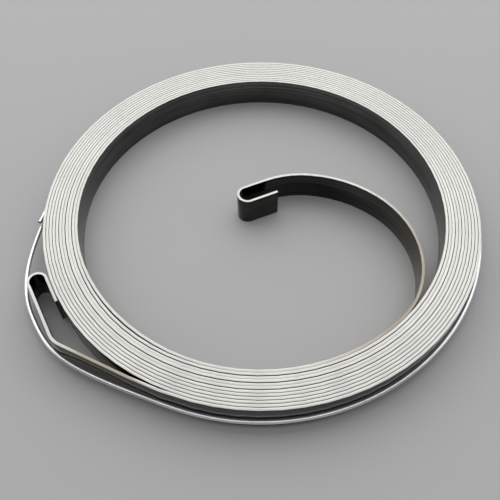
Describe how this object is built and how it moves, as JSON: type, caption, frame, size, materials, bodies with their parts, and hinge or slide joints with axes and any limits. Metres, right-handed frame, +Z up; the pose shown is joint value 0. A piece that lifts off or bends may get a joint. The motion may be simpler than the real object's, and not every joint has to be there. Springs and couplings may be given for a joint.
{
  "type": "recoil starter spring",
  "caption": "Flat steel strip wound into a close spiral, with a curved inner end and a folded hook at each end, kept wound by a hoop of round wire. It rewinds the rope of a pull starter.",
  "frame": {"origin": "on the axis of the coil, in the plane of the lower edge that it lies on", "axes": "+Z up along the coil's axis, -Y towards the front, where the picture was taken from"},
  "size_m": [0.1112, 0.1095, 0.008],
  "materials": {
    "strip_steel": "dark polished faces with bright satin edges",
    "wire_steel": "bright drawn wire"
  },
  "bodies": {
    "root": {"spring_strip": "strip_steel", "retaining_wire": "wire_steel"}
  },
  "joints": []
}
